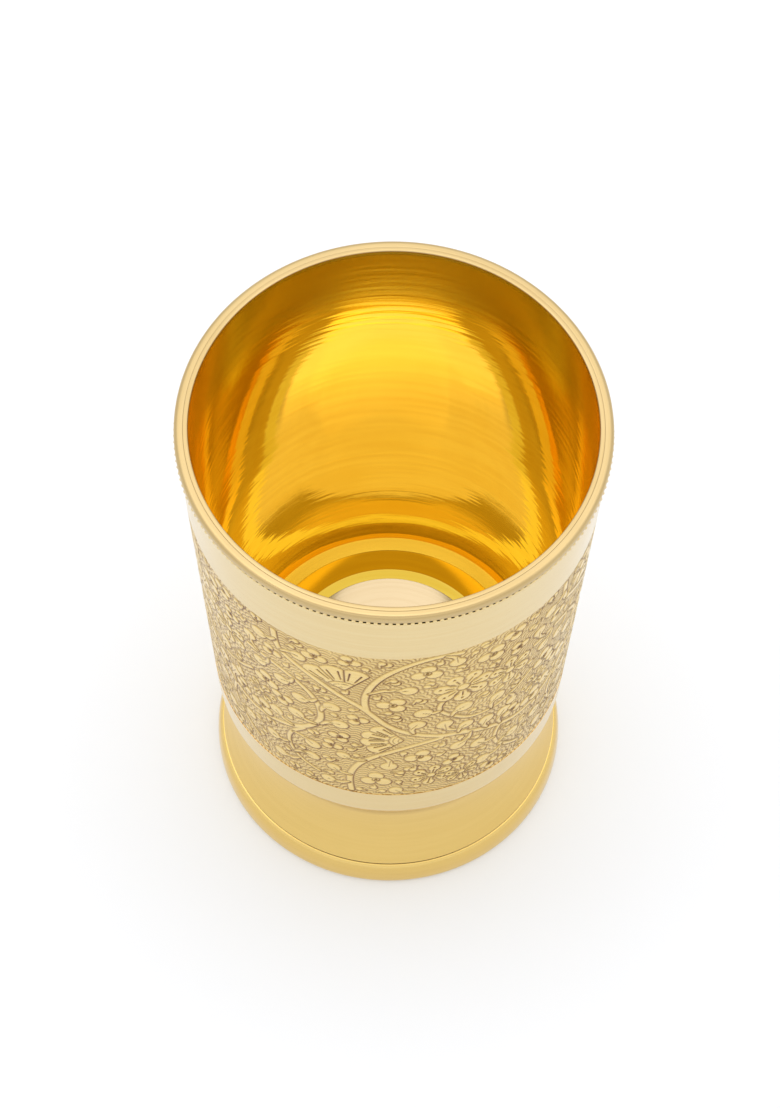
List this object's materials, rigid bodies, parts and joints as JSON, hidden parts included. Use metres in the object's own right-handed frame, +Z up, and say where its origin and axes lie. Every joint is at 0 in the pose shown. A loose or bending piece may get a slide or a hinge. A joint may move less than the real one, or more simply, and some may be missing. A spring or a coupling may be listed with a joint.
{
  "type": "brass tumbler",
  "caption": "Tapered brass drinking cup with a beaded rim, an engraved body band and a hollow flared foot, standing open mouth up.",
  "frame": {"origin": "centre of the circle that the tumbler stands on, at the table", "axes": "+Z up along the tumbler's axis, towards the mouth; the tumbler is round, so X and Y are free"},
  "size_m": [0.076, 0.076, 0.117],
  "materials": {
    "cup": "engraved and polished outside, spun marks inside",
    "floor": "polished, with turning marks",
    "rim": "polished",
    "beads": "milled beads, dark between",
    "foot": "polished",
    "base": "polished"
  },
  "bodies": {
    "root": {"cup_wall": "cup", "cup_floor": "floor", "rim_ring": "rim", "beaded_wire": "beads", "foot_shell": "foot", "base_ring": "base"}
  },
  "joints": []
}
